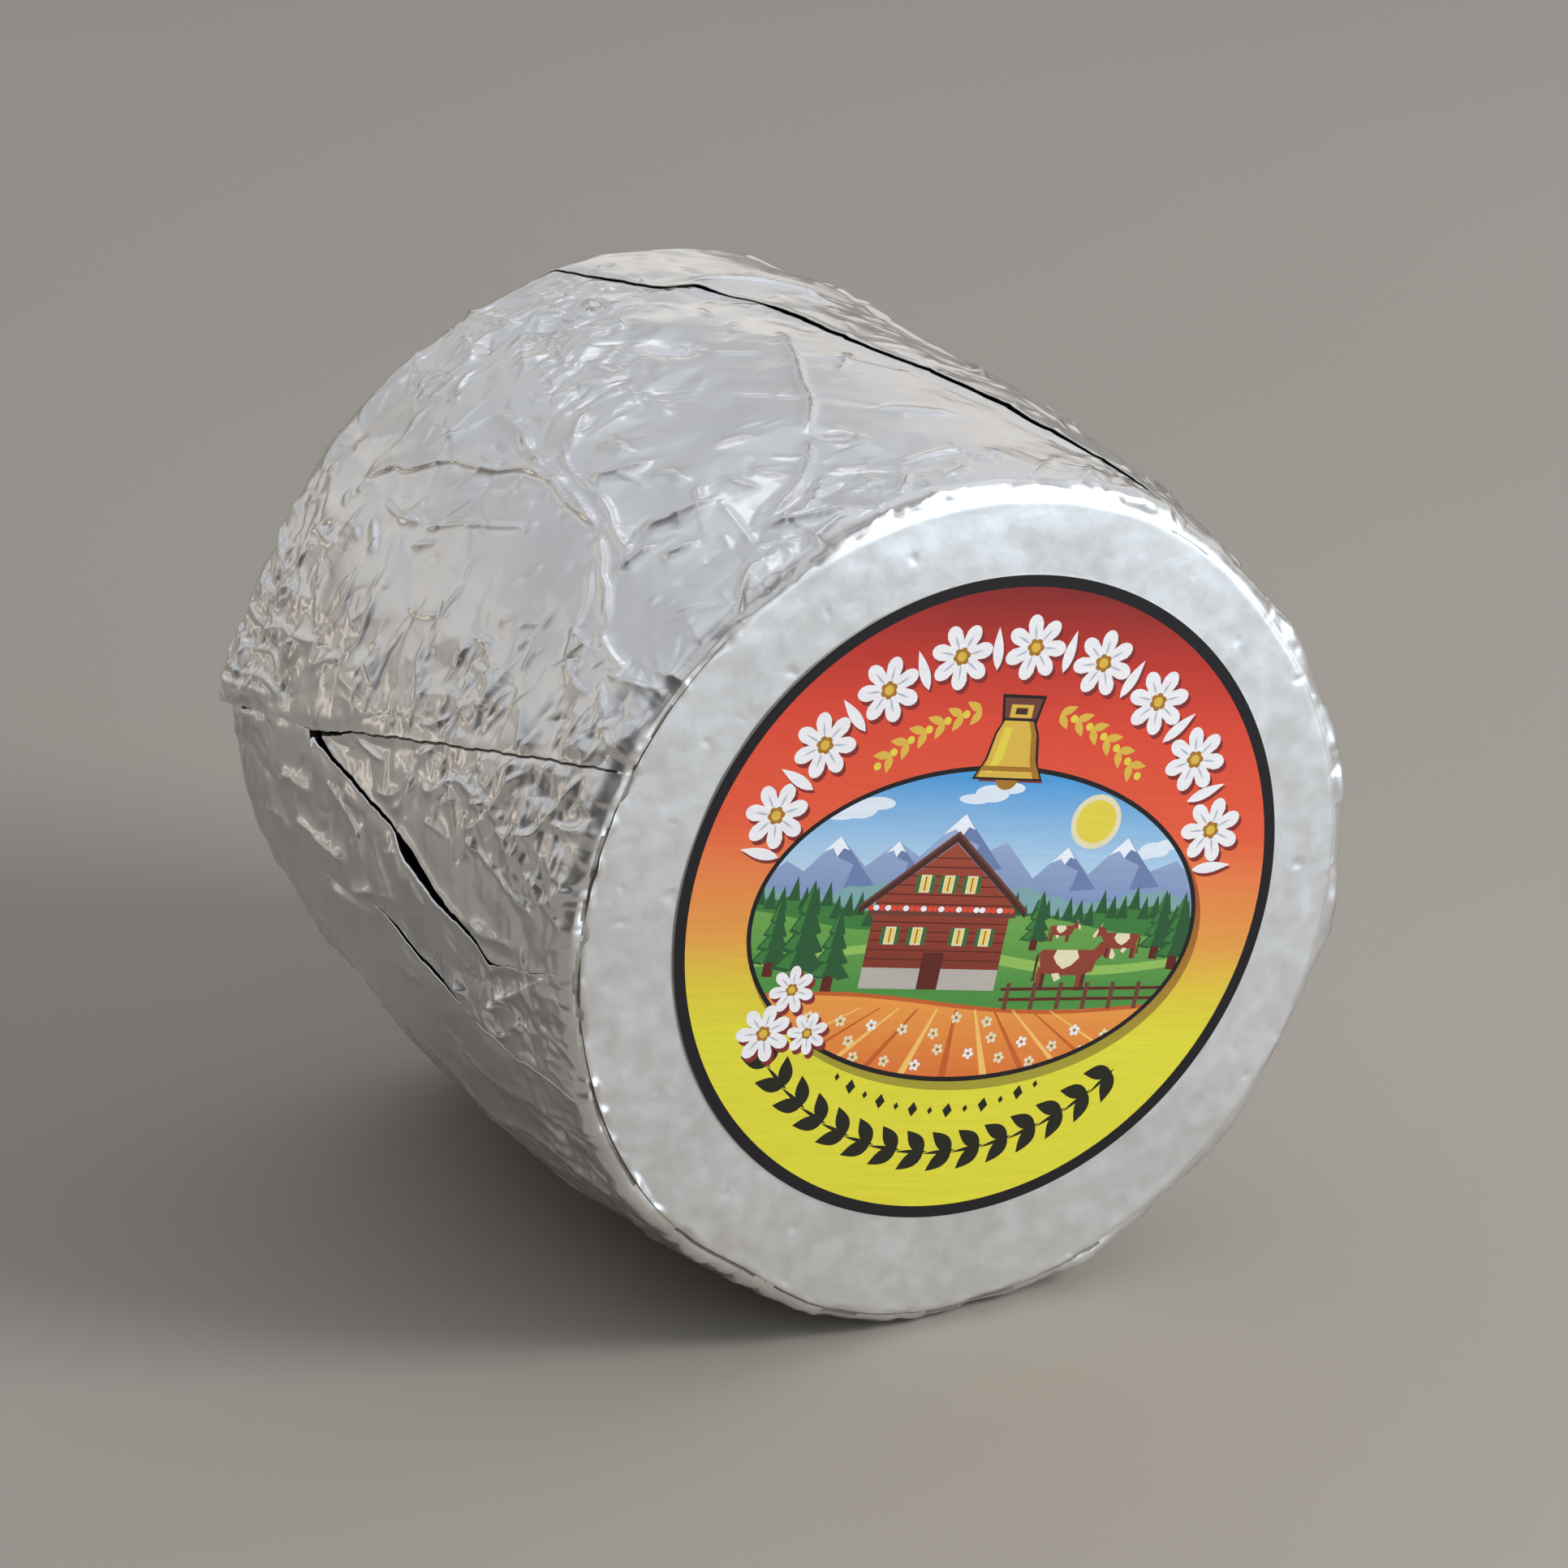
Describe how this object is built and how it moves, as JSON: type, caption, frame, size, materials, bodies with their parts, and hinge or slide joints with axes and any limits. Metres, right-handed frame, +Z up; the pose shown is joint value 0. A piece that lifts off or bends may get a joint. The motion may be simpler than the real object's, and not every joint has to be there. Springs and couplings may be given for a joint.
{
  "type": "foil-wrapped tete de moine cheese",
  "caption": "Small drum-shaped wheel of hard cheese, closed in crumpled foil with a round paper label on its end, lying on its round side. Food for a kitchen, a shop counter or a table.",
  "frame": {"origin": "on the surface that the wheel lies on, under the middle of its bounding box", "axes": "+Z up, the wheel's axis along Y with the labelled end facing -Y, and +X to the right of the label"},
  "size_m": [0.109, 0.0974, 0.1076],
  "materials": {
    "foil": "satin",
    "label_paper": "satin"
  },
  "bodies": {
    "root": {"foil_wrapped_cheese": "foil", "paper_label": "label_paper"}
  },
  "joints": []
}
